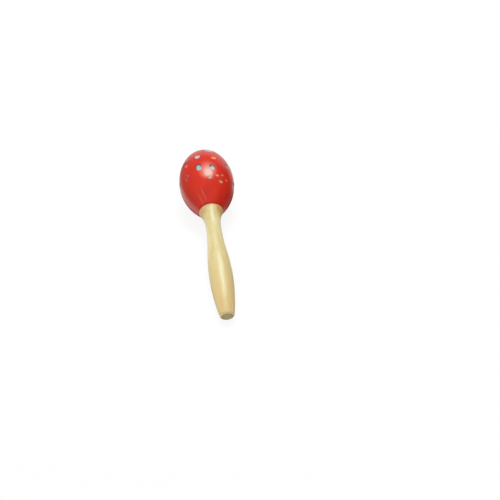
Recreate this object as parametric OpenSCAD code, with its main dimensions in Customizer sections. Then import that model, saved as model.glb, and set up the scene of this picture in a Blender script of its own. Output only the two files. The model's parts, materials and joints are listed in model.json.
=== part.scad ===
// Wooden maraca, lying on a table on its head and its grip.
// A turned handle is glued by its tenon into a hollow egg of two turned halves, with loose beads inside.
// Each piece is drawn upright, butt at the origin and crown on top, and is then laid down.

/* [Handle] */
// Diameter that the grip's curve reaches at the butt end
butt_d = 13.6; // [12:0.2:16]
// Rounding of the butt's edge
butt_round = 1.8; // [0.8:0.1:2.6]
// Diameter of the grip where it swells most
grip_d = 23.6; // [21:0.2:27]
// Distance of the grip's swell from the butt
grip_z = 49; // [43:0.5:55]
// Diameter of the waist between the grip and the collar
waist_d = 16; // [14:0.2:18]
// Distance of the waist from the butt
waist_z = 114; // [108:0.5:118]
// Diameter of the flared collar under the head
collar_d = 26; // [24:0.2:28]
// Rounding of the collar's rim
collar_round = 0.9; // [0.5:0.1:1.2]
// Length of the handle from the butt to the head's seat
handle_len = 135; // [130:1:145]

/* [Tenon] */
// Diameter of the handle's tenon
tenon_d = 13; // [10:0.5:15]
// Chamfer on the tenon's end
tenon_chamfer = 0.8; // [0.4:0.1:1.5]
// Depth of the tenon's end below the chamber's floor
tenon_setback = 0.6; // [0.2:0.1:2]

/* [Head] */
// Diameter of the head at its widest ring
head_d = 61.4; // [57:0.2:67]
// Radius of the long curve of the head's flank
flank_r = 62; // [55:1:73]
// Height of the crown above the widest ring
crown_h = 43.4; // [39:0.2:47]
// Step by which the head's seat lies inside the collar's rim
seat_step = 0.4; // [0.1:0.1:1]
// Wall thickness of the hollow head
wall = 4.5; // [3.8:0.1:5.5]
// Thickness of the solid base that holds the tenon
base_t = 13; // [10:0.5:15]
// Rounding between the chamber's floor and its wall
floor_round = 5; // [3:0.5:6]

/* [Seam] */
// Height of the lip that locates the upper half on the lower one
lip_h = 3; // [1.5:0.5:5]
// Thickness of that lip
lip_t = 2.2; // [1.5:0.1:3]

/* [Beads] */
// Diameter of a bead
bead_d = 5; // [4:0.1:5.4]
// Beads in the middle row of the pool that lies on the chamber's wall
bead_mid_row = 5; // [4:1:5]
// Shorter rows on each side of the middle row, each one bead shorter than the last
bead_side_rows = 3; // [1:1:3]

/* [Clearances] */
// Room for glue round the tenon and round the lip
glue_gap = 0.1; // [0.05:0.05:0.2]
// Least gap between a bead and the chamber's wall
bead_gap = 0.25; // [0.15:0.05:0.5]
// Gap between the paths of neighbouring beads
lane_gap = 0.4; // [0.2:0.1:0.6]

/* [Finish] */
// Greatest distance between a curved outline and its chords
chord_sag = 0.015; // [0.01:0.005:0.05]

/* [Hidden] */
$fn = 96;
lacquer_red = [0.80, 0.16, 0.13];
pale_wood = [0.88, 0.79, 0.57];
seed_brown = [0.42, 0.28, 0.17];

butt_r = butt_d / 2;
grip_r = grip_d / 2;
waist_r = waist_d / 2;
collar_r = collar_d / 2;
tenon_r = tenon_d / 2;
head_r = head_d / 2;
bead_r = bead_d / 2;

// Centres and radii of the handle's curves, each tangent to the next; a point is [radius, height]
grip_curve_r = (pow(grip_z, 2) + pow(grip_r - butt_r, 2)) / (2 * (grip_r - butt_r));
grip_c = [grip_r - grip_curve_r, grip_z];
waist_run = waist_z - grip_z;
waist_drop = grip_r - waist_r;
waist_curve_r = (pow(waist_run, 2) + pow(waist_drop, 2)) / (2 * waist_drop) - grip_curve_r;
waist_c = [waist_r + waist_curve_r, waist_z];
rim_c = [collar_r - collar_round, handle_len - collar_round];
rim_rise = rim_c.y - waist_z;
rim_reach = rim_c.x - waist_r;
flare_r = (pow(rim_reach, 2) + pow(rim_rise, 2) - pow(collar_round, 2)) / (2 * (collar_r - waist_r));
flare_c = [waist_r + flare_r, waist_z];
butt_flat_r = grip_c.x + sqrt(pow(grip_curve_r - butt_round, 2) - pow(grip_z - butt_round, 2));
butt_c = [butt_flat_r, butt_round];
tenon_top = handle_len + base_t - tenon_setback;

// Centres and radii of the head's curves
seat_r = collar_r - seat_step;
widest_z = handle_len + sqrt(pow(flank_r, 2) - pow(seat_r - head_r + flank_r, 2));
flank_c = [head_r - flank_r, widest_z];
crown_r = (pow(flank_r, 2) - pow(flank_c.x, 2) - pow(crown_h, 2)) / (2 * (flank_r - crown_h));
crown_c = [0, widest_z + crown_h - crown_r];
crown_top = widest_z + crown_h;
crown_angle = bearing(flank_c, crown_c);
seat_angle = -asin((widest_z - handle_len) / flank_r);
bore_r = tenon_r + glue_gap;
chamber_flank_r = flank_r - wall;
chamber_crown_r = crown_r - wall;
chamber_r = head_r - wall;
floor_z = handle_len + base_t;
floor_c_x = flank_c.x + sqrt(pow(chamber_flank_r - floor_round, 2) - pow(widest_z - floor_z - floor_round, 2));
floor_c = [floor_c_x, floor_z + floor_round];
lip_r = chamber_r + lip_t;
lip_top = widest_z + lip_h;
recess_r = lip_r + glue_gap;
recess_top = lip_top + glue_gap;
recess_angle = asin((recess_top - widest_z) / chamber_flank_r);

// The table touches the head's flank and the grip's curve, which sets the axis's tilt and height
touch_rise = flank_c.x - grip_c.x;
touch_run = widest_z - grip_z;
touch_span = norm([touch_rise, touch_run]);
rest_tilt = acos((grip_curve_r - flank_r) / touch_span) - atan2(touch_run, touch_rise);
rest_h = flank_c.x * cos(rest_tilt) - widest_z * sin(rest_tilt) + flank_r;
far_y = crown_c.y * cos(rest_tilt) + crown_r;
near_y = butt_round * cos(rest_tilt) - butt_flat_r * sin(rest_tilt) - butt_round;
middle_y = (far_y + near_y) / 2;

// Each bead lies at the low end of its own lane straight across the chamber; a lane is [side, height]
lane_pitch = bead_d + lane_gap;
row_pitch = lane_pitch * sin(60);
bead_track_r = chamber_flank_r - bead_r - bead_gap;
pool_z = -bead_track_r * sin(rest_tilt);
LANES = [
    for (row = [-bead_side_rows : bead_side_rows])
        let (count = bead_mid_row - abs(row))
            for (i = [0 : 1 : count - 1])
                [(i - (count - 1) / 2) * lane_pitch, pool_z + row * row_pitch]
];

// Name of a bead, counted from 01
function bead_name(i) = str("bead_", i < 9 ? "0" : "", i + 1);

// Direction from one point to another, in degrees
function bearing(from, to) = atan2(to.y - from.y, to.x - from.x);

// Points along an arc, without its last one, which starts the next stretch
function arc(c, r, from, to) =
    let (steps = max(3, ceil(abs(to - from) / (2 * acos(1 - chord_sag / r)))))
        [for (i = [0 : steps - 1]) let (a = from + (to - from) * i / steps) c + r * [cos(a), sin(a)]];

// Distance from the head's axis to a bead on the wall, at a height above the widest ring
function bead_reach(height) = flank_c.x + sqrt(pow(bead_track_r, 2) - pow(height, 2));

// Half the length of a bead's lane
function lane_half(lane) = sqrt(pow(bead_reach(lane.y), 2) - pow(lane.x, 2));

function handle_outline() = concat(
    [[0, 0]],
    arc(butt_c, butt_round, -90, bearing(grip_c, butt_c)),
    arc(grip_c, grip_curve_r, bearing(grip_c, butt_c), bearing(grip_c, waist_c)),
    arc(waist_c, waist_curve_r, 180 + bearing(grip_c, waist_c), 180),
    arc(flare_c, flare_r, 180, bearing(flare_c, rim_c)),
    arc(rim_c, collar_round, bearing(rim_c, flare_c), 90),
    [
        [rim_c.x, handle_len],
        [tenon_r, handle_len],
        [tenon_r, tenon_top - tenon_chamfer],
        [tenon_r - tenon_chamfer, tenon_top],
        [0, tenon_top]
    ]
);

function head_lower_outline() = concat(
    [[bore_r, handle_len]],
    arc(flank_c, flank_r, seat_angle, 0),
    [
        [head_r, widest_z],
        [lip_r, widest_z],
        [lip_r, lip_top],
        [chamber_r, lip_top]
    ],
    arc(flank_c, chamber_flank_r, 0, bearing(flank_c, floor_c)),
    arc(floor_c, floor_round, bearing(flank_c, floor_c), -90),
    [
        [floor_c.x, floor_z],
        [bore_r, floor_z]
    ]
);

function head_upper_outline() = concat(
    arc(flank_c, flank_r, 0, crown_angle),
    arc(crown_c, crown_r, crown_angle, 90),
    [
        [0, crown_top],
        [0, crown_top - wall]
    ],
    reversed(arc(crown_c, chamber_crown_r, crown_angle, 90)),
    reversed(arc(flank_c, chamber_flank_r, recess_angle, crown_angle)),
    [
        [recess_r, recess_top],
        [recess_r, widest_z]
    ]
);

// The same points in the opposite order
function reversed(points) = [for (i = [len(points) - 1 : -1 : 0]) points[i]];

// Lays an upright piece down on the table, head towards +Y
module laid() {
    translate([0, -middle_y, rest_h])
        rotate([rest_tilt - 90, 0, 0])
            children();
}

// A piece as it leaves the lathe
module turned(outline) {
    laid()
        rotate_extrude()
            polygon(outline);
}

module handle() {
    color(pale_wood)
        turned(handle_outline());
}

module head_lower() {
    color(lacquer_red)
        turned(head_lower_outline());
}

module head_upper() {
    color(lacquer_red)
        turned(head_upper_outline());
}

module bead(lane) {
    color(seed_brown)
        laid()
            translate([lane.x, lane_half(lane), widest_z + lane.y])
                sphere(bead_r);
}

handle();
head_lower();
head_upper();
for (i = [0 : len(LANES) - 1])
    bead(LANES[i]);
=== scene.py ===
import json
import math

import bpy
from mathutils import Matrix, Quaternion, Vector


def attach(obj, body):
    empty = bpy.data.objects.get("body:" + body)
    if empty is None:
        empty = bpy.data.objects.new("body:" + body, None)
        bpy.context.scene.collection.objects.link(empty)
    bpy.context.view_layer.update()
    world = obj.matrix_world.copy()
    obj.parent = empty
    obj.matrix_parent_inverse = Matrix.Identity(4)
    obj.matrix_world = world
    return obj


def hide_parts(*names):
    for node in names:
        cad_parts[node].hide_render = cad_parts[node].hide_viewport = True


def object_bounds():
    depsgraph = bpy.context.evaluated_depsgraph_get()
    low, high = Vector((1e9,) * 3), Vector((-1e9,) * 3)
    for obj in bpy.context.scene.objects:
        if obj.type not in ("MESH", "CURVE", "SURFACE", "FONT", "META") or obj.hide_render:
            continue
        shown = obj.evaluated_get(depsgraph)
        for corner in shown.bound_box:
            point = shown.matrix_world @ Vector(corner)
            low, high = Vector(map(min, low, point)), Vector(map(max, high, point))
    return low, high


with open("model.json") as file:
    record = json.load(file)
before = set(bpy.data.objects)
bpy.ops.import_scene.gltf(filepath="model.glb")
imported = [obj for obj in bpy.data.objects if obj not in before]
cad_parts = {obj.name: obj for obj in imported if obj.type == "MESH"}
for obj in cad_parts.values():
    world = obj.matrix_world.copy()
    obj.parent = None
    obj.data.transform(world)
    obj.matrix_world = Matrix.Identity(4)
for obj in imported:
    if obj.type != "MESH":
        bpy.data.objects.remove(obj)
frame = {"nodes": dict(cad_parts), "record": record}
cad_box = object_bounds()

MM = 0.001

# The handle's sizes in millimetres; heights run along the maraca from the butt
BUTT_R = 6.8
BUTT_ROUND = 1.8
GRIP_R = 11.8
GRIP_Z = 49.0
WAIST_R = 8.0
WAIST_Z = 114.0
COLLAR_R = 13.0
COLLAR_ROUND = 0.9
HANDLE_LEN = 135.0
TENON_R = 6.5
TENON_CHAMFER = 0.8
TENON_SETBACK = 0.6

# The head's sizes in millimetres
HEAD_R = 30.7
FLANK_R = 62.0
CROWN_H = 43.4
SEAT_STEP = 0.4
WALL = 4.5
BASE_T = 13.0
FLOOR_ROUND = 5.0
LIP_H = 3.0
LIP_T = 2.2
GLUE_GAP = 0.1

# How finely the pieces are turned
LACQUER_STEP = 0.42
CHAMBER_STEP = 2.5
HANDLE_STEP = 0.8
HEAD_SEGMENTS = 448
HANDLE_SEGMENTS = 160
SHARP_CORNER = math.radians(35)
# How far up the head the dark seat line and painted shade above the collar reach, in millimetres
SEAT_LINE_AND_SHADE_WIDTH = 1.8
# Width in millimetres of the collar's rim band with its red stain and painted red reflection
RIM_LINE = 2.8
# How far towards the underside the butt's end-grain colour is moved, in millimetres, so that it also lies on
# the lower rounding as painted shade
END_GRAIN_AND_SHADE_DROP = 1.1
WELD = 0.0005
# The pieces are made a hair smaller than the solids, so that they stay inside them
TRIM = 0.9998

# Colours as linear red, green and blue
GLOSS_TINT = (0.45, 1.0, 0.85)
VARNISH_TINT = (0.55, 1.0, 0.95)
LACQUER_BRIGHT = (0.70, 0.029, 0.013, 1.0)
LACQUER_DEEP = (0.61, 0.021, 0.010, 1.0)
# Dark for the dabs' lines and brush streaks, and for painted shade along one side of each cut and just above
# the head's seat on the collar
LINE_AND_SHADE_DARK = (0.030, 0.012, 0.010, 1.0)
# Pale painted light along the other side of each cut: a lip outside it and a crescent inside its paint
PAINTED_LIGHT_PALE = (0.66, 0.60, 0.55, 1.0)
SAPWOOD = (0.87, 0.79, 0.46, 1.0)
# Pale painted highlight down the middle of the collar
PAINTED_HIGHLIGHT_PALE = (0.97, 0.93, 0.64, 1.0)
LATEWOOD = (0.80, 0.64, 0.285, 1.0)
GRIP_WOOD = (0.88, 0.645, 0.28, 1.0)
# Orange-brown painted shade for the handle's right side, and painted shade with painted reflection of the red
# head on the collar's sides
PAINTED_SHADE_ORANGE = (0.70, 0.37, 0.075, 1.0)
# Peach at the collar's rim: partly a red stain, partly painted reflection of the red head
RIM_STAIN_AND_REFLECTION = (0.90, 0.46, 0.25, 1.0)
END_WOOD = (0.52, 0.415, 0.26, 1.0)
END_EDGE = (0.24, 0.17, 0.085, 1.0)
PORE_WOOD = (0.48, 0.32, 0.12, 1.0)
RAW_WOOD = (0.70, 0.55, 0.34, 1.0)
RAW_LATEWOOD = (0.56, 0.39, 0.21, 1.0)
SEED_BROWN = (0.16, 0.075, 0.032, 1.0)
SEED_DARK = (0.035, 0.016, 0.009, 1.0)

# How rough the finishes are, and how strongly the lacquer and the varnish mirror
LACQUER_ROUGH = 0.13
PAINT_ROUGH = 0.75
VARNISH_ROUGH = 0.33
END_ROUGH = 0.65
FINISH_IOR = 1.6

# Paints of the dabs: red, green, blue and how strong the dark line round them is; that line is partly painted
# shade, heavier on one side of the cut, and the same number sets the pale painted light on its other side
TINTS = {
    "sky": (0.33, 0.47, 0.52, 1.0),
    "bone": (0.62, 0.60, 0.52, 0.7),
    "shell": (0.70, 0.47, 0.48, 0.7),
    "orange": (0.98, 0.22, 0.10, 0.12),
    "rose": (0.95, 0.29, 0.20, 0.35),
    "ember": (0.80, 0.14, 0.075, 0.2),
    "clay": (0.74, 0.25, 0.13, 0.45),
    "straw": (0.64, 0.36, 0.21, 0.85),
    "olive": (0.10, 0.06, 0.05, 0.4),
    "umber": (0.22, 0.04, 0.02, 0.0),
    "moss": (0.30, 0.36, 0.20, 0.6),
    "plum": (0.58, 0.13, 0.13, 0.3),
    "wine": (0.38, 0.05, 0.04, 0.0),
    "slate": (0.53, 0.50, 0.48, 0.2),
    "mauve": (0.41, 0.235, 0.225, 0.7),
    "salmon": (0.92, 0.18, 0.125, 0.1),
    "ash": (0.46, 0.44, 0.41, 1.4),
}

# Gouge cuts in the head: half length, half width and depth in millimetres
CUTS = {
    "round": (3.2, 4.1, 0.80),
    "disc": (2.9, 3.4, 0.75),
    "oval": (3.3, 2.5, 0.65),
    "wide": (5.0, 4.2, 0.80),
    "coin": (3.4, 3.0, 0.60),
    "feather": (4.0, 1.7, 0.55),
    "leaf": (2.6, 1.8, 0.50),
    "chip": (1.9, 1.2, 0.42),
    "vein": (2.6, 0.42, 0.22),
}
RAGGEDNESS = 0.25

# Each dab: degrees round from the top line, to the right as the holder sees it, height above the widest ring,
# cut, degrees that the cut climbs towards the crown, tint
DABS_ON_TOP = [
    (-15.5, 13.3, "coin", 0, "shell"),
    (18.4, 9.4, "oval", 16, "orange"),
    (-15.8, -4.0, "round", 195, "sky"),
    (12.3, -5.7, "disc", 168, "ash"),
    (15.5, 27.3, "wide", 0, "slate"),
    (-43.2, 6.7, "leaf", -45, "salmon"),
    (-46, 18.5, "oval", -60, "mauve"),
    (48.5, 2.4, "coin", -90, "mauve"),
    (5.2, -18.9, "leaf", 0, "straw"),
    (21.6, -16.5, "chip", 0, "rose"),
    (34.3, -14.5, "chip", 8, "ember"),
    (31.4, -22.5, "leaf", 15, "clay"),
    (46.1, -18.4, "chip", 20, "ember"),
    (-47.5, -10.3, "leaf", -62, "wine"),
    (-44, -8.3, "chip", -70, "plum"),
    (-50, -12, "chip", -60, "plum"),
    (77, -11.5, "oval", 0, "olive"),
    (-75, -6.3, "oval", -65, "plum"),
    (14.5, -19.7, "vein", -15, "umber"),
    (24, -18.2, "vein", -10, "umber"),
    (29.6, -19.3, "vein", 25, "umber"),
    (38.2, -20.7, "vein", 20, "umber"),
]
DABS_BELOW = [
    (21, 17, "oval", 20, "orange"),
    (27, 12, "oval", 25, "straw"),
    (-4, 13, "oval", -10, "orange"),
    (-3, 6, "chip", 0, "rose"),
    (-3, -1.5, "oval", -5, "moss"),
    (-33, 10, "oval", -35, "orange"),
    (-47, -8, "oval", -30, "straw"),
    (39, 0, "chip", 60, "straw"),
    (45, 5, "chip", 60, "straw"),
    (54, -1.5, "chip", 60, "olive"),
    (40, -14, "round", 30, "moss"),
    (46, -9, "chip", 60, "rose"),
    (-61, -10, "chip", -45, "straw"),
    (44, 15, "chip", 50, "rose"),
    (-18, 26, "chip", -15, "bone"),
    (8, 29, "chip", 10, "orange"),
]
DABS_AT_SIDES = [
    (92, 6, "round", 190, "bone"),
    (84, 20, "oval", 30, "orange"),
    (108, 15, "feather", -25, "shell"),
    (106, -10, "leaf", -10, "straw"),
    (113, -13, "chip", -20, "rose"),
    (110, -16, "vein", -25, "umber"),
    (117, 3, "chip", -60, "plum"),
    (96, 28, "chip", 0, "rose"),
    (-104, 8, "round", 170, "sky"),
    (-88, 20, "oval", -30, "orange"),
    (-118, 16, "disc", 190, "ash"),
    (-112, -9, "leaf", 12, "straw"),
    (-118, -12, "chip", 20, "rose"),
    (-120, -2, "chip", 50, "ember"),
    (-94, 29, "chip", -10, "rose"),
]


def bearing(start, end):
    """Direction from one outline point to another."""
    return math.atan2(end.y - start.y, end.x - start.x)


def arc(centre, radius, start, end, step):
    """Outline points along an arc, without its last one, which starts the next stretch."""
    count = max(3, math.ceil(abs(end - start) * radius / step))
    angles = [start + (end - start) * i / count for i in range(count)]
    return [centre + radius * Vector((math.cos(a), math.sin(a))) for a in angles]


def line(*points, step=CHAMBER_STEP):
    """Outline points along straight stretches, without the last one."""
    placed = []
    for start, end in zip(points, points[1:]):
        start, end = Vector(start), Vector(end)
        count = max(1, math.ceil((end - start).length / step))
        placed += [start.lerp(end, i / count) for i in range(count)]
    return placed


# The curves of the handle, each tangent to the next; a point is (radius, height)
grip_curve_r = (GRIP_Z ** 2 + (GRIP_R - BUTT_R) ** 2) / (2 * (GRIP_R - BUTT_R))
grip_c = Vector((GRIP_R - grip_curve_r, GRIP_Z))
waist_run = WAIST_Z - GRIP_Z
waist_drop = GRIP_R - WAIST_R
waist_curve_r = (waist_run ** 2 + waist_drop ** 2) / (2 * waist_drop) - grip_curve_r
waist_c = Vector((WAIST_R + waist_curve_r, WAIST_Z))
rim_c = Vector((COLLAR_R - COLLAR_ROUND, HANDLE_LEN - COLLAR_ROUND))
rim_reach = rim_c - Vector((WAIST_R, WAIST_Z))
flare_r = (rim_reach.length_squared - COLLAR_ROUND ** 2) / (2 * (COLLAR_R - WAIST_R))
flare_c = Vector((WAIST_R + flare_r, WAIST_Z))
butt_flat_r = grip_c.x + math.sqrt((grip_curve_r - BUTT_ROUND) ** 2 - (GRIP_Z - BUTT_ROUND) ** 2)
butt_c = Vector((butt_flat_r, BUTT_ROUND))
tenon_top = HANDLE_LEN + BASE_T - TENON_SETBACK

# The curves of the head and of the chamber inside it
seat_r = COLLAR_R - SEAT_STEP
widest_z = HANDLE_LEN + math.sqrt(FLANK_R ** 2 - (seat_r - HEAD_R + FLANK_R) ** 2)
flank_c = Vector((HEAD_R - FLANK_R, widest_z))
crown_r = (FLANK_R ** 2 - flank_c.x ** 2 - CROWN_H ** 2) / (2 * (FLANK_R - CROWN_H))
crown_top = widest_z + CROWN_H
crown_c = Vector((0.0, crown_top - crown_r))
crown_turn = bearing(flank_c, crown_c)
seat_turn = -math.asin((widest_z - HANDLE_LEN) / FLANK_R)
bore_r = TENON_R + GLUE_GAP
floor_z = HANDLE_LEN + BASE_T
floor_rise = widest_z - floor_z - FLOOR_ROUND
floor_reach = math.sqrt((FLANK_R - WALL - FLOOR_ROUND) ** 2 - floor_rise ** 2)
floor_c = Vector((flank_c.x + floor_reach, floor_z + FLOOR_ROUND))
chamber_r = HEAD_R - WALL
lip_r = chamber_r + LIP_T
lip_top = widest_z + LIP_H
recess_r = lip_r + GLUE_GAP
recess_top = lip_top + GLUE_GAP
recess_turn = math.asin((recess_top - widest_z) / (FLANK_R - WALL))

# The maraca's place in the frame: it lies with its butt at a mount that faces away from the head
butt_mount = next(m for m in frame["record"]["mounts"] if m["name"] == "butt_end")
butt = Vector(butt_mount["pos_m"])
along = -Vector(butt_mount["axis"]).normalized()
across = Vector((1.0, 0.0, 0.0))
laid_turn = Matrix((across, along.cross(across), along)).transposed()
LAID = Matrix.Translation(butt) @ laid_turn.to_4x4() @ Matrix.Scale(MM, 4)
box_middle = (cad_box[0] + cad_box[1]) / 2
TRIMMED = Matrix.Translation(box_middle) @ Matrix.Scale(TRIM, 4) @ Matrix.Translation(-box_middle) @ LAID


def handle_outline():
    """The handle from its butt's middle to its tenon's end: the varnished stretch, then the glued one."""
    grip_start = bearing(grip_c, butt_c)
    grip_end = bearing(grip_c, waist_c)
    varnished = (
        line((0, 0), (butt_c.x, 0), step=HANDLE_STEP)
        + arc(butt_c, BUTT_ROUND, -math.pi / 2, grip_start, HANDLE_STEP / 4)
        + arc(grip_c, grip_curve_r, grip_start, grip_end, HANDLE_STEP)
        + arc(waist_c, waist_curve_r, math.pi + grip_end, math.pi, HANDLE_STEP)
        + arc(flare_c, flare_r, math.pi, bearing(flare_c, rim_c), HANDLE_STEP)
        + arc(rim_c, COLLAR_ROUND, bearing(rim_c, flare_c), math.pi / 2, HANDLE_STEP / 4)
        + [Vector((rim_c.x, HANDLE_LEN))]
    )
    glued = line(
        (TENON_R, HANDLE_LEN),
        (TENON_R, tenon_top - TENON_CHAMFER),
        (TENON_R - TENON_CHAMFER, tenon_top),
        (0, tenon_top),
    ) + [Vector((0, tenon_top))]
    return [(True, varnished), (False, glued)]


def head_lower_outline():
    """The lower half of the head, round once: the lacquered flank, then the lip, the chamber and the bore."""
    floor_turn = bearing(flank_c, floor_c)
    lacquered = arc(flank_c, FLANK_R, seat_turn, 0, LACQUER_STEP) + [Vector((HEAD_R, widest_z))]
    bare = (
        line((lip_r, widest_z), (lip_r, lip_top), (chamber_r, lip_top))
        + arc(flank_c, FLANK_R - WALL, 0, floor_turn, CHAMBER_STEP)
        + arc(floor_c, FLOOR_ROUND, floor_turn, -math.pi / 2, CHAMBER_STEP / 3)
        + line((floor_c.x, floor_z), (bore_r, floor_z), (bore_r, HANDLE_LEN), (seat_r, HANDLE_LEN))
        + [Vector((seat_r, HANDLE_LEN))]
    )
    return [(True, lacquered), (False, bare)]


def head_upper_outline():
    """The upper half of the head: from inside its crown down the chamber, then up the lacquered outside."""
    bare = (
        arc(crown_c, crown_r - WALL, math.pi / 2, crown_turn, CHAMBER_STEP)
        + arc(flank_c, FLANK_R - WALL, crown_turn, recess_turn, CHAMBER_STEP)
        + line((recess_r, recess_top), (recess_r, widest_z), (HEAD_R, widest_z))
    )
    lacquered = (
        arc(flank_c, FLANK_R, 0, crown_turn, LACQUER_STEP)
        + arc(crown_c, crown_r, crown_turn, math.pi / 2, LACQUER_STEP)
        + [Vector((0, crown_top))]
    )
    return [(False, bare), (True, lacquered)]


def outline_mesh(name, stretches):
    """A chain of points in millimetres that knows which of them are finished and which are bare."""
    mesh = bpy.data.meshes.new(name)
    points = [p for _, stretch in stretches for p in stretch]
    links = [(i, i + 1) for i in range(len(points) - 1)]
    mesh.from_pydata([(p.x, 0.0, p.y) for p in points], links, [])
    finished = [float(done) for done, stretch in stretches for _ in stretch]
    mesh.attributes.new("finished", "FLOAT", "POINT").data.foreach_set("value", finished)
    return mesh


def head_point(turn, height):
    """A point on the outside of the head, with the directions out of it, round it and towards the crown."""
    if height < FLANK_R * math.sin(crown_turn):
        climb = math.asin(height / FLANK_R)
        radius = flank_c.x + FLANK_R * math.cos(climb)
    else:
        climb = math.asin((widest_z + height - crown_c.y) / crown_r)
        radius = crown_r * math.cos(climb)
    side = Vector((math.sin(turn), -math.cos(turn), 0.0))
    up = Vector((0.0, 0.0, 1.0))
    out = side * math.cos(climb) + up * math.sin(climb)
    round_head = Vector((math.cos(turn), math.sin(turn), 0.0))
    return side * radius + up * (widest_z + height), out, round_head, out.cross(round_head)


def dab_points():
    """One point for each dab on the head, with the directions of its cut divided by the cut's half sizes."""
    rows = DABS_ON_TOP + DABS_AT_SIDES + [(turn + 180, *rest) for turn, *rest in DABS_BELOW]
    places, lengthways, sideways, inwards, tints, edges = [], [], [], [], [], []
    for turn, height, cut, climb, tint in rows:
        half_length, half_width, depth = CUTS[cut]
        place, out, round_head, to_crown = head_point(math.radians(turn), height)
        lean = math.radians(climb)
        length_way = round_head * math.cos(lean) + to_crown * math.sin(lean)
        places.append(place)
        lengthways += list(length_way / half_length)
        sideways += list(out.cross(length_way) / half_width)
        inwards += list(-out * depth)
        tints += TINTS[tint][:3]
        edges.append(TINTS[tint][3])
    mesh = bpy.data.meshes.new("dab_points")
    mesh.from_pydata(places, [], [])
    fields = {"lengthways": lengthways, "sideways": sideways, "inwards": inwards, "tint": tints}
    for label, values in fields.items():
        mesh.attributes.new(label, "FLOAT_VECTOR", "POINT").data.foreach_set("vector", values)
    mesh.attributes.new("edge", "FLOAT", "POINT").data.foreach_set("value", edges)
    points = bpy.data.objects.new("dab_points", mesh)
    bpy.context.scene.collection.objects.link(points)
    return points


def new_tree(name, kind, takes, gives):
    """A node tree with named sockets, and the sockets that its nodes take from and give to."""
    tree = bpy.data.node_groups.new(name, kind)
    for way, sockets in (("INPUT", takes), ("OUTPUT", gives)):
        for label, socket_type in sockets.items():
            tree.interface.new_socket(label, in_out=way, socket_type="NodeSocket" + socket_type)
    taken = tree.nodes.new("NodeGroupInput").outputs
    given = tree.nodes.new("NodeGroupOutput").inputs
    return tree, taken, given


def feed(tree, socket, value):
    """Gives a socket a plain value, or links it to another node's socket."""
    if isinstance(value, bpy.types.NodeSocket):
        tree.links.new(value, socket)
    else:
        socket.default_value = value


def add(tree, kind, inputs, **settings):
    """A new node with its settings made and its inputs fed."""
    node = tree.nodes.new(kind)
    for name, value in settings.items():
        setattr(node, name, value)
    for name, value in inputs.items():
        feed(tree, node.inputs[name], value)
    return node


def calc(tree, operation, *values):
    """The result of a sum on numbers."""
    return add(tree, "ShaderNodeMath", dict(enumerate(values)), operation=operation).outputs[0]


def whole(tree, operation, *values):
    """The result of a sum on whole numbers."""
    return add(tree, "FunctionNodeIntegerMath", dict(enumerate(values)), operation=operation).outputs[0]


def vector_calc(tree, operation, *values):
    """The result of a sum on vectors, which is a number for a length or a dot product."""
    node = add(tree, "ShaderNodeVectorMath", dict(enumerate(values)), operation=operation)
    return node.outputs["Value" if operation in ("LENGTH", "DOT_PRODUCT") else "Vector"]


def scaled(tree, vector, factor):
    """A vector times a number."""
    node = add(tree, "ShaderNodeVectorMath", {0: vector, "Scale": factor}, operation="SCALE")
    return node.outputs["Vector"]


def ramp(tree, value, low, high, to_low=0.0, to_high=1.0):
    """A value carried softly from one range to another."""
    inputs = {"Value": value, "From Min": low, "From Max": high, "To Min": to_low, "To Max": to_high}
    return add(tree, "ShaderNodeMapRange", inputs, interpolation_type="SMOOTHSTEP").outputs["Result"]


def blend(tree, share, first, second):
    """A colour between two colours."""
    inputs = {"Factor": share, 6: first, 7: second}
    return add(tree, "ShaderNodeMix", inputs, data_type="RGBA").outputs[2]


def noise(tree, place, per_mm, detail=2.0):
    """Soft noise from 0 to 1, with so many waves to the millimetre along each direction of the maraca."""
    stretched = vector_calc(tree, "MULTIPLY", place, per_mm)
    inputs = {"Vector": stretched, "Scale": 1.0, "Detail": detail}
    return add(tree, "ShaderNodeTexNoise", inputs).outputs["Fac"]


def named(tree, label, data_type):
    """A named value that the mesh carries."""
    node = add(tree, "GeometryNodeInputNamedAttribute", {"Name": label}, data_type=data_type)
    return node.outputs["Attribute"]


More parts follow.
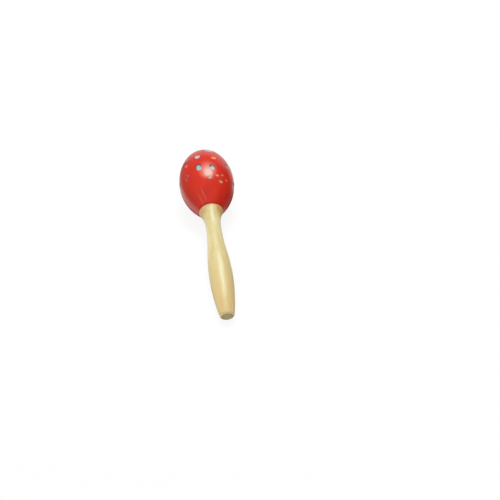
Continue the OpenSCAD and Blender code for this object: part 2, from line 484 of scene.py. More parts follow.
def lathe_tree():
    """Turns an outline about the Z axis into a closed piece, finished outside and bare where it is glued."""
    takes = {"Outline": "Geometry", "Segments": "Int", "Finish": "Material", "Bare Wood": "Material"}
    tree, taken, given = new_tree("turn on the lathe", "GeometryNodeTree", takes, {"Piece": "Geometry"})
    outline = taken["Outline"]
    segments = taken["Segments"]
    rows = add(tree, "GeometryNodeAttributeDomainSize", {"Geometry": outline}).outputs["Point Count"]
    columns = whole(tree, "ADD", segments, 1)
    grid = add(tree, "GeometryNodeMeshGrid", {"Vertices X": columns, "Vertices Y": rows}).outputs["Mesh"]
    index = add(tree, "GeometryNodeInputIndex", {}).outputs[0]
    row = whole(tree, "MODULO", index, rows)
    column = whole(tree, "DIVIDE_FLOOR", index, rows)
    position = add(tree, "GeometryNodeInputPosition", {}).outputs[0]
    on_outline = {"Geometry": outline, "Index": row}
    point = add(
        tree, "GeometryNodeSampleIndex", {**on_outline, "Value": position}, data_type="FLOAT_VECTOR"
    ).outputs["Value"]
    finished = add(
        tree, "GeometryNodeSampleIndex", {**on_outline, "Value": named(tree, "finished", "FLOAT")}
    ).outputs["Value"]
    radius, _, height = add(tree, "ShaderNodeSeparateXYZ", {0: point}).outputs
    turn = calc(tree, "MULTIPLY", calc(tree, "DIVIDE", column, segments), math.tau)
    spun = add(tree, "ShaderNodeCombineXYZ", {
        "X": calc(tree, "MULTIPLY", radius, calc(tree, "COSINE", turn)),
        "Y": calc(tree, "MULTIPLY", radius, calc(tree, "SINE", turn)),
        "Z": height,
    }).outputs[0]
    marked = add(
        tree, "GeometryNodeStoreNamedAttribute", {"Geometry": grid, "Name": "finished", "Value": finished}
    ).outputs[0]
    turned = add(tree, "GeometryNodeSetPosition", {"Geometry": marked, "Position": spun}).outputs[0]
    closed = add(tree, "GeometryNodeMergeByDistance", {"Geometry": turned, "Distance": WELD}).outputs[0]
    smooth = add(tree, "GeometryNodeSetShadeSmooth", {"Geometry": closed, "Shade Smooth": True}).outputs[0]
    corner = add(tree, "GeometryNodeInputMeshEdgeAngle", {}).outputs["Unsigned Angle"]
    creased = add(tree, "GeometryNodeSetShadeSmooth", {
        "Geometry": smooth,
        "Selection": calc(tree, "GREATER_THAN", corner, SHARP_CORNER),
        "Shade Smooth": False,
    }, domain="EDGE").outputs[0]
    whole_piece = add(tree, "GeometryNodeRealizeInstances", {"Geometry": creased}).outputs[0]
    bare = add(tree, "GeometryNodeSetMaterial", {
        "Geometry": whole_piece,
        "Material": taken["Bare Wood"],
    }).outputs[0]
    done = add(tree, "GeometryNodeSetMaterial", {
        "Geometry": bare,
        "Selection": calc(tree, "GREATER_THAN", named(tree, "finished", "FLOAT"), 0.5),
        "Material": taken["Finish"],
    }).outputs[0]
    feed(tree, given["Piece"], done)
    return tree


def gouge_tree():
    """Cuts the dabs into the outside of the head, and keeps on it each dab's rings, sides, tint and the
    strength of its line, its painted shade and its painted light.
    """
    takes = {"Head": "Geometry", "Dabs": "Object", "Raggedness": "Float", "Finish": "Material"}
    tree, taken, given = new_tree("gouge the dabs", "GeometryNodeTree", takes, {"Head": "Geometry"})
    dabs = add(tree, "GeometryNodeObjectInfo", {"Object": taken["Dabs"]}).outputs["Geometry"]
    position = add(tree, "GeometryNodeInputPosition", {}).outputs[0]
    nearest = add(tree, "GeometryNodeSampleNearest", {"Geometry": dabs}, domain="POINT").outputs["Index"]

    def of_dab(value, data_type="FLOAT_VECTOR"):
        inputs = {"Geometry": dabs, "Value": value, "Index": nearest}
        return add(tree, "GeometryNodeSampleIndex", inputs, data_type=data_type).outputs["Value"]

    away = vector_calc(tree, "SUBTRACT", position, of_dab(position))
    inwards = of_dab(named(tree, "inwards", "FLOAT_VECTOR"))
    depth_share = calc(tree, "DIVIDE", vector_calc(tree, "DOT_PRODUCT", away, inwards), 1.5)
    along_cut = vector_calc(tree, "DOT_PRODUCT", away, of_dab(named(tree, "lengthways", "FLOAT_VECTOR")))
    across_cut = vector_calc(tree, "DOT_PRODUCT", away, of_dab(named(tree, "sideways", "FLOAT_VECTOR")))
    apart = add(tree, "ShaderNodeCombineXYZ", {"X": along_cut, "Y": across_cut, "Z": depth_share}).outputs[0]
    wander = calc(tree, "SUBTRACT", noise(tree, position, (0.55, 0.55, 0.55), 1.0), 0.5)
    unevenness = calc(tree, "ADD", 1.0, calc(tree, "MULTIPLY", wander, taken["Raggedness"]))
    ring = calc(tree, "MULTIPLY", vector_calc(tree, "LENGTH", apart), unevenness)
    bowl = calc(tree, "MAXIMUM", 0.0, calc(tree, "SUBTRACT", 1.0, calc(tree, "MULTIPLY", ring, ring)))
    cut = calc(tree, "POWER", bowl, 1.4)
    outside = calc(tree, "GREATER_THAN", named(tree, "finished", "FLOAT"), 0.5)
    with_ring = add(tree, "GeometryNodeStoreNamedAttribute", {
        "Geometry": taken["Head"],
        "Name": "dab_ring",
        "Value": calc(tree, "MINIMUM", ring, 2.0),
    }).outputs[0]
    with_side = add(tree, "GeometryNodeStoreNamedAttribute", {
        "Geometry": with_ring,
        "Name": "dab_low",
        "Value": across_cut,
    }).outputs[0]
    with_edge = add(tree, "GeometryNodeStoreNamedAttribute", {
        "Geometry": with_side,
        "Name": "dab_edge",
        "Value": of_dab(named(tree, "edge", "FLOAT"), "FLOAT"),
    }).outputs[0]
    with_tint = add(tree, "GeometryNodeStoreNamedAttribute", {
        "Geometry": with_edge,
        "Name": "dab_tint",
        "Value": of_dab(named(tree, "tint", "FLOAT_VECTOR")),
    }, data_type="FLOAT_VECTOR").outputs[0]
    carved = add(tree, "GeometryNodeSetPosition", {
        "Geometry": with_tint,
        "Selection": outside,
        "Offset": scaled(tree, inwards, cut),
    }).outputs[0]
    joined = add(tree, "GeometryNodeRealizeInstances", {"Geometry": carved}).outputs[0]
    finishing = {"Geometry": joined, "Selection": outside, "Material": taken["Finish"]}
    feed(tree, given["Head"], add(tree, "GeometryNodeSetMaterial", finishing).outputs[0])
    return tree


def made_by(name, mesh, *steps):
    """A piece's plain mesh, made from a mesh by node trees in turn, each with its inputs' values."""
    work = bpy.data.objects.new(name, mesh)
    bpy.context.scene.collection.objects.link(work)
    for tree, values in steps:
        modifier = work.modifiers.new(tree.name, "NODES")
        modifier.node_group = tree
        for socket in tree.interface.items_tree:
            if socket.in_out == "INPUT" and socket.name in values:
                modifier[socket.identifier] = values[socket.name]
    graph = bpy.context.evaluated_depsgraph_get()
    made = bpy.data.meshes.new_from_object(
        work.evaluated_get(graph), preserve_all_data_layers=True, depsgraph=graph
    )
    bpy.data.objects.remove(work)
    made.name = name
    return made


def piece(name, mesh, body, node):
    """A finished piece that rides on a body and stands for a node."""
    made = bpy.data.objects.new(name, mesh)
    bpy.context.scene.collection.objects.link(made)
    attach(made, body)
    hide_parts(node)
    return made


def wood_grain_group():
    """Growth rings about a pith beside the piece, long fibres and short pores, by place in millimetres."""
    takes = {"Place": "Vector", "Pith": "Vector", "Ring Width": "Float"}
    gives = {"Rings": "Float", "Fibres": "Float", "Pores": "Float"}
    tree, taken, given = new_tree("wood grain", "ShaderNodeTree", takes, gives)
    place = taken["Place"]
    swerve = calc(tree, "MULTIPLY", calc(tree, "SUBTRACT", noise(tree, place, (0.05, 0.05, 0.012)), 0.5), 7.0)
    from_pith = vector_calc(tree, "SUBTRACT", place, taken["Pith"])
    flat = vector_calc(tree, "MULTIPLY", from_pith, (1.0, 1.0, 0.035))
    reach = calc(tree, "ADD", vector_calc(tree, "LENGTH", flat), swerve)
    year = calc(tree, "FRACT", calc(tree, "DIVIDE", reach, taken["Ring Width"]))
    late = calc(tree, "POWER", year, 2.2)
    feed(tree, given["Rings"], calc(tree, "MULTIPLY", late, ramp(tree, year, 1.0, 0.86)))
    feed(tree, given["Fibres"], noise(tree, place, (2.4, 2.4, 0.06), 3.0))
    feed(tree, given["Pores"], ramp(tree, noise(tree, place, (5.5, 5.5, 0.28), 1.0), 0.66, 0.74))
    return tree


def turning_lines_group():
    """Fine rings that the lathe and the polishing cloth leave round a turned piece."""
    takes = {"Place": "Vector", "Pitch": "Float"}
    tree, taken, given = new_tree("turning lines", "ShaderNodeTree", takes, {"Lines": "Float"})
    drift = calc(tree, "MULTIPLY", noise(tree, taken["Place"], (0.03, 0.03, 0.03)), 2.0)
    _, _, height = add(tree, "ShaderNodeSeparateXYZ", {0: taken["Place"]}).outputs
    step = calc(tree, "ADD", calc(tree, "DIVIDE", height, taken["Pitch"]), drift)
    lines = add(tree, "ShaderNodeTexNoise", {"W": step, "Scale": 1.0, "Detail": 2.0}, noise_dimensions="1D")
    feed(tree, given["Lines"], lines.outputs["Fac"])
    return tree


def new_material(name):
    """A material with its node tree, its shader and the maraca's own upright place in millimetres."""
    material = bpy.data.materials.new(name)
    material.use_nodes = True
    tree = material.node_tree
    shader = tree.nodes["Principled BSDF"]
    coordinates = add(tree, "ShaderNodeTexCoord", {}).outputs["Object"]
    place = add(tree, "ShaderNodeMapping", {
        "Vector": coordinates,
        "Location": butt,
        "Rotation": laid_turn.to_euler(),
        "Scale": (MM, MM, MM),
    }, vector_type="TEXTURE").outputs["Vector"]
    return material, tree, shader, place


def grain(tree, place, pith, ring_width):
    """The wood grain effect in a material; returns its rings, fibres and pores."""
    node = add(tree, "ShaderNodeGroup", {}, node_tree=WOOD_GRAIN)
    for label, value in {"Place": place, "Pith": pith, "Ring Width": ring_width}.items():
        feed(tree, node.inputs[label], value)
    return node.outputs["Rings"], node.outputs["Fibres"], node.outputs["Pores"]


def turning_lines(tree, place, pitch):
    """The turning lines effect in a material."""
    node = add(tree, "ShaderNodeGroup", {}, node_tree=TURNING_LINES)
    feed(tree, node.inputs["Place"], place)
    feed(tree, node.inputs["Pitch"], pitch)
    return node.outputs["Lines"]


def bumped(tree, shader, height, depth_mm):
    """Gives a shader the relief of a height from 0 to 1."""
    bump = add(tree, "ShaderNodeBump", {"Strength": 1.0, "Distance": depth_mm * MM, "Height": height})
    feed(tree, shader.inputs["Normal"], bump.outputs["Normal"])


def set_shader(tree, shader, **inputs):
    """Feeds the shader's own sockets, named with underlines for spaces."""
    for name, value in inputs.items():
        feed(tree, shader.inputs[name.replace("_", " ")], value)


def red_lacquer():
    """Gloss red lacquer over turned wood, with the painted dabs sunk into it, painted shade and painted light
    at the walls of their cuts, and painted shade with a dark line where the head sits on the collar.
    """
    material, tree, shader, place = new_material("red_lacquer")
    cloud = noise(tree, place, (0.05, 0.05, 0.035), 3.0)
    _, fibres, _ = grain(tree, place, (9.0, 26.0, 60.0), 2.6)
    lines = turning_lines(tree, place, 0.5)
    depth = calc(tree, "ADD", calc(tree, "MULTIPLY", cloud, 0.75), calc(tree, "MULTIPLY", fibres, 0.25))
    red = blend(tree, ramp(tree, depth, 0.3, 0.7), LACQUER_DEEP, LACQUER_BRIGHT)
    ring = add(tree, "ShaderNodeAttribute", {}, attribute_name="dab_ring").outputs["Fac"]
    tint = add(tree, "ShaderNodeAttribute", {}, attribute_name="dab_tint").outputs["Color"]
    low = add(tree, "ShaderNodeAttribute", {}, attribute_name="dab_low").outputs["Fac"]
    edge = add(tree, "ShaderNodeAttribute", {}, attribute_name="dab_edge").outputs["Fac"]
    painted = ramp(tree, ring, 0.98, 0.88)
    # The dark line round each cut is partly a painted line and partly painted shade: full where dab_low is
    # negative, faint where it is positive
    line_start = calc(tree, "SUBTRACT", 0.86, calc(tree, "MULTIPLY", edge, 0.32))
    in_line = calc(tree, "MULTIPLY", ramp(tree, ring, line_start, 0.94), ramp(tree, ring, 1.16, 1.04))
    line_and_shade_share = calc(tree, "MULTIPLY", edge, ramp(tree, low, 0.6, -0.4, 0.1, 1.0))
    outline = calc(tree, "MULTIPLY", in_line, line_and_shade_share)
    # Painted light where dab_low is positive: a pale lip round the cut and a pale crescent inside its paint
    in_lip = calc(tree, "MULTIPLY", ramp(tree, ring, 0.94, 1.02), ramp(tree, ring, 1.25, 1.12))
    lip = calc(tree, "MULTIPLY", in_lip, calc(tree, "MULTIPLY", edge, ramp(tree, low, 0.55, 0.9, 0.0, 0.8)))
    stroke = noise(tree, place, (0.9, 0.9, 2.2), 2.0)
    shaded_tint = blend(tree, ramp(tree, stroke, 0.35, 0.75, 0.0, 0.14), tint, LINE_AND_SHADE_DARK)
    lit_side = ramp(tree, low, 0.25, 0.55, 0.0, edge)
    painted_light_crescent = calc(tree, "MULTIPLY", lit_side, ramp(tree, ring, 0.5, 0.75, 0.0, 0.45))
    paint = blend(tree, painted_light_crescent, shaded_tint, PAINTED_LIGHT_PALE)
    _, _, height = add(tree, "ShaderNodeSeparateXYZ", {0: place}).outputs
    # Painted shade in the crease just above where the head sits on the collar, with a dark seat line
    seat_line_and_shade = ramp(tree, height, HANDLE_LEN + SEAT_LINE_AND_SHADE_WIDTH, HANDLE_LEN, 0.0, 0.4)
    cut_red = blend(tree, lip, red, PAINTED_LIGHT_PALE)
    lined_and_shaded = blend(tree, outline, blend(tree, painted, cut_red, paint), LINE_AND_SHADE_DARK)
    colour = blend(tree, seat_line_and_shade, lined_and_shaded, LINE_AND_SHADE_DARK)
    peel = noise(tree, place, (0.8, 0.8, 0.8), 2.0)
    relief = calc(tree, "ADD", calc(tree, "MULTIPLY", lines, 0.35), calc(tree, "MULTIPLY", peel, 0.65))
    bumped(tree, shader, relief, depth_mm=0.010)
    set_shader(
        tree, shader,
        Base_Color=colour,
        Roughness=ramp(tree, painted, 0.0, 1.0, LACQUER_ROUGH, PAINT_ROUGH),
        IOR=FINISH_IOR,
        Specular_Tint=(*GLOSS_TINT, 1.0),
    )
    return material


def varnished_wood():
    """Pale turned wood under a satin varnish, with orange-brown painted shade along its right side and on the
    collar's sides, where it is also painted reflection of the red head, a painted highlight down the collar,
    a red stain and painted red reflection at the collar's rim, and the butt's dark end grain spread onto the
    lower rounding as painted shade.
    """
    material, tree, shader, place = new_material("varnished_wood")
    rings, fibres, pores = grain(tree, place, (7.0, 24.0, 70.0), 2.7)
    lines = turning_lines(tree, place, 0.7)
    side, depth, height = add(tree, "ShaderNodeSeparateXYZ", {0: place}).outputs
    cloud = noise(tree, place, (0.16, 0.16, 0.014), 2.0)
    warm = calc(tree, "ADD", calc(tree, "MULTIPLY", rings, 0.45), ramp(tree, fibres, 0.35, 0.7, 0.0, 0.3))
    warmer = calc(tree, "ADD", warm, ramp(tree, cloud, 0.38, 0.66, 0.0, 0.45))
    plain = blend(tree, warmer, SAPWOOD, LATEWOOD)
    along_grip = calc(tree, "ADD", height, ramp(tree, cloud, 0.3, 0.7, -20.0, 20.0))
    wood = blend(tree, ramp(tree, along_grip, 85.0, 15.0, 0.0, 0.6), plain, GRIP_WOOD)
    strayed = calc(tree, "ADD", side, ramp(tree, cloud, 0.3, 0.7, -2.5, 2.5))
    # Painted shade: the handle's right side, as the camera sees it, turns orange-brown
    right_painted_shade = ramp(tree, strayed, 2.0, 11.0, 0.0, 0.14)
    # Painted shade and painted reflection of the red head on both sides of the collar
    at_collar = ramp(tree, height, WAIST_Z + 4.0, HANDLE_LEN - 3.0)
    right_side = ramp(tree, strayed, 1.0, 6.5, 0.0, 0.95)
    left_side = ramp(tree, strayed, -2.5, -10.0, 0.0, 0.65)
    collar_painted_shade_and_reflection = calc(tree, "MULTIPLY", at_collar, calc(tree, "MAXIMUM", right_side, left_side))
    painted_shade = calc(tree, "MAXIMUM", right_painted_shade, collar_painted_shade_and_reflection)
    with_painted_shade = blend(tree, painted_shade, wood, PAINTED_SHADE_ORANGE)
    # Painted highlight: a pale streak down the collar's middle
    from_top = calc(tree, "ABSOLUTE", calc(tree, "SUBTRACT", side, 0.6))
    painted_highlight = calc(tree, "MULTIPLY", at_collar, ramp(tree, from_top, 3.6, 0.6, 0.0, 0.8))
    with_painted_highlight = blend(tree, painted_highlight, with_painted_shade, PAINTED_HIGHLIGHT_PALE)
    pored = blend(tree, calc(tree, "MULTIPLY", pores, 0.35), with_painted_highlight, PORE_WOOD)
    # The collar's rim: partly a red stain, partly painted reflection of the red head
    at_rim = ramp(tree, height, HANDLE_LEN - RIM_LINE, HANDLE_LEN - 0.8, 0.0, 0.75)
    rimmed = blend(tree, at_rim, pored, RIM_STAIN_AND_REFLECTION)
    # The end grain's darker colour and its darker ring are centred low, so they spread onto the lower
    # rounding as painted shade and leave the top of the flat face lighter
    sunk = calc(tree, "SUBTRACT", depth, END_GRAIN_AND_SHADE_DROP)
    squares = calc(tree, "ADD", calc(tree, "POWER", side, 2.0), calc(tree, "POWER", sunk, 2.0))
    reach = calc(tree, "SQRT", squares)
    at_butt = ramp(tree, height, BUTT_ROUND, BUTT_ROUND / 2)
    end = calc(tree, "MULTIPLY", at_butt, ramp(tree, reach, butt_flat_r + 0.5, butt_flat_r))
    edge = calc(tree, "MULTIPLY", end, ramp(tree, reach, butt_flat_r - 1.4, butt_flat_r - 0.2, 0.0, 0.55))
    end_grain = blend(tree, ramp(tree, rings, 0.05, 0.5, 0.0, 0.45), END_WOOD, END_EDGE)
    with_end_grain_and_shade = blend(tree, calc(tree, "MULTIPLY", end, 0.8), rimmed, end_grain)
    edged = blend(tree, edge, with_end_grain_and_shade, END_EDGE)
    relief = calc(tree, "ADD", calc(tree, "MULTIPLY", lines, 0.4), calc(tree, "MULTIPLY", fibres, 0.6))
    bumped(tree, shader, relief, depth_mm=0.02)
    set_shader(
        tree, shader,
        Base_Color=edged,
        Roughness=ramp(tree, end, 0.0, 1.0, VARNISH_ROUGH, END_ROUGH),
        Diffuse_Roughness=1.0,
        IOR=FINISH_IOR,
        Specular_Tint=(*VARNISH_TINT, 1.0),
    )
    return material


def bare_wood():
    """Unfinished turned wood of the chamber and of the glued faces."""
    material, tree, shader, place = new_material("bare_wood")
    rings, fibres, pores = grain(tree, place, (9.0, 26.0, 60.0), 2.6)
    lines = turning_lines(tree, place, 1.1)
    warm = calc(tree, "ADD", calc(tree, "MULTIPLY", rings, 0.6), ramp(tree, fibres, 0.35, 0.7, 0.0, 0.35))
    wood = blend(tree, warm, RAW_WOOD, RAW_LATEWOOD)
    pored = blend(tree, calc(tree, "MULTIPLY", pores, 0.5), wood, PORE_WOOD)
    relief = calc(tree, "ADD", calc(tree, "MULTIPLY", lines, 0.7), calc(tree, "MULTIPLY", fibres, 0.3))
    bumped(tree, shader, relief, depth_mm=0.06)
    set_shader(
        tree, shader,
        Base_Color=pored,
        Roughness=ramp(tree, fibres, 0.3, 0.7, 0.68, 0.82),
        Specular_IOR_Level=0.25,
    )
    return material


def hard_seed():
    """Smooth dry seed, mottled dark over brown."""
    material, tree, shader, place = new_material("hard_seed")
    mottle = noise(tree, place, (0.9, 0.9, 0.9), 3.0)
    colour = blend(tree, ramp(tree, mottle, 0.4, 0.62), SEED_BROWN, SEED_DARK)
    bumped(tree, shader, noise(tree, place, (3.0, 3.0, 3.0), 2.0), depth_mm=0.02)
    set_shader(
        tree, shader,
        Base_Color=colour,
        Roughness=ramp(tree, mottle, 0.3, 0.7, 0.34, 0.5),
        Coat_Weight=0.2,
    )
    return material


# The stage: white paper in a white room. The floor's half width, the light it takes and gives, its paper's
# tones, and the distances between which the maraca's shadow fades out, in metres
FLOOR_HALF = 4.0
FLOOR_LIT = 0.12
FLOOR_GLOW = 0.89
PAPER_TONE = (0.62, 0.62, 0.62, 1.0)
PAPER_FIBRE = (0.66, 0.66, 0.66, 1.0)
SHADOW_REACH = (0.16, 0.45)
# The world's soft fill: its least and most light, over which range of directions, and from where
FILL_LIGHT = (0.05, 1.12)
FILL_SPREAD = (0.30, 1.05)
FILL_WAY = (-0.34, -0.69, 0.64)
# The room as the gloss mirrors it, seen from the head's middle: dim, with a lit wall behind, lit paper below,
# shade under the maraca and a dark side at the right. A pair is a range over which one fades into the next,
# and a climb is 1 straight up and -1 straight down
HEAD_MIDDLE = (0.0, 0.07, 0.03)
DIM_ROOM = 0.26
WALL_TOP = (0.20, 0.50)
WALL_FOOT = (-0.35, 0.0)
WALL_SIDE = (0.68, 0.90)
WALL_WAY = (0.309, 0.951, 0.0)
WALL_LIT = 0.55
PAPER_TOP = (-0.36, -0.20)
PAPER_LIT = 0.95
SHADE_TOP = (-0.62, -0.50)
SHADE_LIT = 0.3
DARK_SHARE = 0.82
DARK_WAY = (0.966, -0.259, 0.0)
DARK_START = (0.39, 0.75)
DARK_FADE = 0.25
DARK_TOP = (0.25, 0.80)
# The lamps: the directions they stand in, and their distances and sizes in metres; a brightness of 1 is white
# paper's. The key hangs overhead, and two thin strips at the left leave streaks in the lacquer
KEY_FROM = Vector((0.123, 0.283, 0.951))
HALO_FROM = Vector((0.097, 0.430, 0.898))
KEY_DISTANCE = 0.82
KEY_TURN = math.radians(24)
KEY_HALF = (math.radians(15.8), math.radians(11.4))
# Ovals of the key softbox: share of its half width and half depth, brightness over the wider ones
KEY_OVALS = [(0.70, 2.2), (0.85, 2.3), (1.00, 1.8), (1.20, 1.5), (1.45, 1.2), (1.75, 0.9), (2.05, 0.5)]
HIGH_STRIP_FROM = Vector((-0.42, -0.53, 0.74))
LOW_STRIP_FROM = Vector((-0.78, -0.45, 0.43))
STRIP_DISTANCE = 2.0
STRIP_DEPTH = 0.10
STRIP_TURN = math.radians(-26)
HIGH_STRIP_WIDTH = 1.05
HIGH_STRIP_BRIGHTNESS = 2.7
LOW_STRIP_WIDTH = 0.85
LOW_STRIP_BRIGHTNESS = 2.2

# The camera: 500 pixels square, with the butt's middle at a pixel and at a distance along the view
IMAGE_PIXELS = 500
FOCAL_PIXELS = 600
SENSOR = 36.0
BUTT_PIXEL = (227.32, 316.39)
BUTT_DISTANCE = 0.56125
LOOKS_DOWN = math.radians(43.07)
LOOKS_RIGHT = math.radians(8.89)


def ways_of_seeing(tree):
    """1 for what the camera sees, and 1 for what shows in a reflection or through clear material."""
    rays = add(tree, "ShaderNodeLightPath", {}).outputs
    mirrored = calc(tree, "MAXIMUM", rays["Is Glossy Ray"], rays["Is Transmission Ray"])
    return rays["Is Camera Ray"], mirrored


def mirrored_room_group():
    """How bright the room looks in reflections: a wall behind, lit paper all round, dark at the right."""
    gives = {"Brightness": "Float"}
    tree, taken, given = new_tree("mirrored room", "ShaderNodeTree", {"Way": "Vector"}, gives)
    _, _, climb = add(tree, "ShaderNodeSeparateXYZ", {0: taken["Way"]}).outputs
    level = vector_calc(tree, "NORMALIZE", vector_calc(tree, "MULTIPLY", taken["Way"], (1.0, 1.0, 0.0)))
    behind = ramp(tree, vector_calc(tree, "DOT_PRODUCT", level, WALL_WAY), *WALL_SIDE)
    upper_wall = ramp(tree, climb, *reversed(WALL_TOP), 0.0, WALL_LIT)
    lower_wall = ramp(tree, climb, *reversed(WALL_FOOT))
    wall = calc(tree, "MULTIPLY", behind, calc(tree, "MAXIMUM", upper_wall, lower_wall))
    paper = ramp(tree, climb, *reversed(PAPER_TOP), 0.0, PAPER_LIT)
    lit = calc(tree, "MULTIPLY_ADD", calc(tree, "MAXIMUM", wall, paper), 1.0 - DIM_ROOM, DIM_ROOM)
    shaded = calc(tree, "MULTIPLY", lit, ramp(tree, climb, *SHADE_TOP, SHADE_LIT, 1.0))
    dark_start = ramp(tree, climb, 0.0, -0.15, *DARK_START)
    to_dark = calc(tree, "SUBTRACT", vector_calc(tree, "DOT_PRODUCT", level, DARK_WAY), dark_start)
    dark_side = ramp(tree, to_dark, 0.0, DARK_FADE, 0.0, DARK_SHARE)
    dark = calc(tree, "MULTIPLY", ramp(tree, climb, *reversed(DARK_TOP)), dark_side)
    feed(tree, given["Brightness"], calc(tree, "MULTIPLY", shaded, calc(tree, "SUBTRACT", 1.0, dark)))
    return tree


def room_brightness(tree, way):
    """The mirrored room effect in a material or in the world."""
    node = add(tree, "ShaderNodeGroup", {}, node_tree=MIRRORED_ROOM)
    feed(tree, node.inputs["Way"], way)
    return node.outputs["Brightness"]


def pale_floor():
    """White paper that keeps the maraca's shadow near it, stays white farther off and mirrors as the room."""
    material = bpy.data.materials.new("pale_floor")
    material.use_nodes = True
    tree = material.node_tree
    tree.nodes.remove(tree.nodes["Principled BSDF"])
    coordinates = add(tree, "ShaderNodeTexCoord", {}).outputs["Object"]
    off = ramp(tree, vector_calc(tree, "LENGTH", coordinates), *SHADOW_REACH)
    fibre = add(tree, "ShaderNodeTexNoise", {"Vector": coordinates, "Scale": 900.0}).outputs["Fac"]
    paper = blend(tree, fibre, PAPER_TONE, PAPER_FIBRE)
    plain = add(tree, "ShaderNodeBsdfDiffuse", {"Color": paper}).outputs[0]
    half = add(tree, "ShaderNodeBsdfDiffuse", {"Color": (FLOOR_LIT, FLOOR_LIT, FLOOR_LIT, 1.0)}).outputs[0]
    glow = add(tree, "ShaderNodeEmission", {"Strength": FLOOR_GLOW}).outputs[0]
    shadowed = add(tree, "ShaderNodeAddShader", {0: half, 1: glow}).outputs[0]
    white = add(tree, "ShaderNodeEmission", {"Strength": 1.0}).outputs[0]
    from_head = vector_calc(tree, "NORMALIZE", vector_calc(tree, "SUBTRACT", coordinates, HEAD_MIDDLE))
    room = add(tree, "ShaderNodeEmission", {"Strength": room_brightness(tree, from_head)}).outputs[0]
    in_view, mirrored = ways_of_seeing(tree)
    seen = add(tree, "ShaderNodeMixShader", {0: off, 1: shadowed, 2: white}).outputs[0]
    unseen = add(tree, "ShaderNodeMixShader", {0: mirrored, 1: plain, 2: room}).outputs[0]
    shown = add(tree, "ShaderNodeMixShader", {0: in_view, 1: unseen, 2: seen}).outputs[0]
    feed(tree, tree.nodes["Material Output"].inputs["Surface"], shown)
    return material


def lay_floor():
    """The floor that the maraca lies on."""
    mesh = bpy.data.meshes.new("floor")
    corners = [(-1, -1), (1, -1), (1, 1), (-1, 1)]
    mesh.from_pydata([(x * FLOOR_HALF, y * FLOOR_HALF, 0.0) for x, y in corners], [], [(0, 1, 2, 3)])
    mesh.materials.append(pale_floor())
    floor = bpy.data.objects.new("floor", mesh)
    bpy.context.scene.collection.objects.link(floor)


def softbox(name, direction, distance, width, depth, brightness, turn=0.0):
    """An oval softbox that shines at the maraca; a brightness of 1 is white paper's."""
    lamp = bpy.data.lights.new(name, "AREA")
    lamp.shape = "ELLIPSE"
    lamp.size = width
    lamp.size_y = depth
    lamp.energy = brightness * math.pi * math.pi / 4 * width * depth
    box = bpy.data.objects.new(name, lamp)
    box.location = box_middle + direction.normalized() * distance
    facing = (-direction).to_track_quat("-Z", "Y") @ Quaternion((0.0, 0.0, 1.0), turn)
    box.rotation_euler = facing.to_euler()
    bpy.context.scene.collection.objects.link(box)


def soft_key():
    """One big softbox, brightest in its middle: ovals of light over each other, from narrow to wide."""
    for i, (share, brightness) in enumerate(KEY_OVALS):
        width, depth = (2 * KEY_DISTANCE * math.tan(share * half) for half in KEY_HALF)
        direction = KEY_FROM.lerp(HALO_FROM, i / (len(KEY_OVALS) - 1))
        softbox(f"key_{i + 1}", direction, KEY_DISTANCE, width, depth, brightness, KEY_TURN)


def white_room():
    """A world that looks white, mirrors as a dim room and fills the shadows softly from the front left."""
    world = bpy.data.worlds.new("white_room")
    world.use_nodes = True
    tree = world.node_tree
    way = add(tree, "ShaderNodeTexCoord", {}).outputs["Generated"]
    fill = ramp(tree, vector_calc(tree, "DOT_PRODUCT", way, FILL_WAY), *FILL_SPREAD, *FILL_LIGHT)
    in_view, mirrored = ways_of_seeing(tree)
    more = calc(tree, "MULTIPLY", mirrored, calc(tree, "SUBTRACT", room_brightness(tree, way), fill))
    strength = calc(tree, "MAXIMUM", in_view, calc(tree, "ADD", fill, more))
    background = tree.nodes["Background"]
    feed(tree, background.inputs["Color"], (1.0, 1.0, 1.0, 1.0))
    feed(tree, background.inputs["Strength"], strength)
    bpy.context.scene.world = world


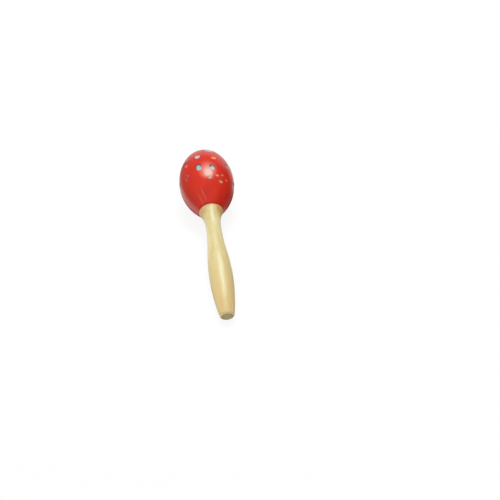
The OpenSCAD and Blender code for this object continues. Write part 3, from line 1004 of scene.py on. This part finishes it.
def place_camera():
    """The camera above and before the butt, looking down along the maraca."""
    data = bpy.data.cameras.new("camera")
    data.sensor_fit = "HORIZONTAL"
    data.sensor_width = SENSOR
    data.lens = SENSOR * FOCAL_PIXELS / IMAGE_PIXELS
    data.clip_start = 0.01
    camera = bpy.data.objects.new("camera", data)
    turn = Matrix.Rotation(-LOOKS_RIGHT, 3, "Z") @ Matrix.Rotation(math.pi / 2 - LOOKS_DOWN, 3, "X")
    right, down = ((p - IMAGE_PIXELS / 2) / FOCAL_PIXELS for p in BUTT_PIXEL)
    to_butt = turn @ (Vector((right, -down, -1.0)) * BUTT_DISTANCE)
    camera.matrix_world = Matrix.Translation(butt - to_butt) @ turn.to_4x4()
    bpy.context.scene.collection.objects.link(camera)
    bpy.context.scene.camera = camera


WOOD_GRAIN = wood_grain_group()
TURNING_LINES = turning_lines_group()
MIRRORED_ROOM = mirrored_room_group()
LACQUER = red_lacquer()
VARNISHED = varnished_wood()
BARE = bare_wood()
SEED = hard_seed()
LATHE = lathe_tree()
GOUGE = gouge_tree()

place_camera()
lay_floor()
white_room()
soft_key()
high_strip = (HIGH_STRIP_WIDTH, STRIP_DEPTH, HIGH_STRIP_BRIGHTNESS, STRIP_TURN)
low_strip = (LOW_STRIP_WIDTH, STRIP_DEPTH, LOW_STRIP_BRIGHTNESS, STRIP_TURN)
softbox("high_strip", HIGH_STRIP_FROM, STRIP_DISTANCE, *high_strip)
softbox("low_strip", LOW_STRIP_FROM, STRIP_DISTANCE, *low_strip)

dabs = dab_points()
head_turning = {"Segments": HEAD_SEGMENTS, "Finish": LACQUER, "Bare Wood": BARE}
handle_turning = {"Segments": HANDLE_SEGMENTS, "Finish": VARNISHED, "Bare Wood": BARE}
gouging = {"Dabs": dabs, "Raggedness": RAGGEDNESS, "Finish": LACQUER}
handle_mesh = made_by("handle", outline_mesh("handle_outline", handle_outline()), (LATHE, handle_turning))
halves = {"head_lower": head_lower_outline(), "head_upper": head_upper_outline()}
head_meshes = {
    node: made_by(node, outline_mesh(node + "_outline", outline), (LATHE, head_turning), (GOUGE, gouging))
    for node, outline in halves.items()
}
bpy.data.objects.remove(dabs)

handle_mesh.transform(TRIMMED)
piece("turned_handle", handle_mesh, "body", "handle")
for node, mesh in head_meshes.items():
    mesh.transform(TRIMMED)
    piece("lacquered_" + node, mesh, "body", node)
for node, solid in frame["nodes"].items():
    if node.startswith("bead_"):
        solid.data.materials.clear()
        solid.data.materials.append(SEED)

bpy.context.scene.view_settings.view_transform = "Standard"
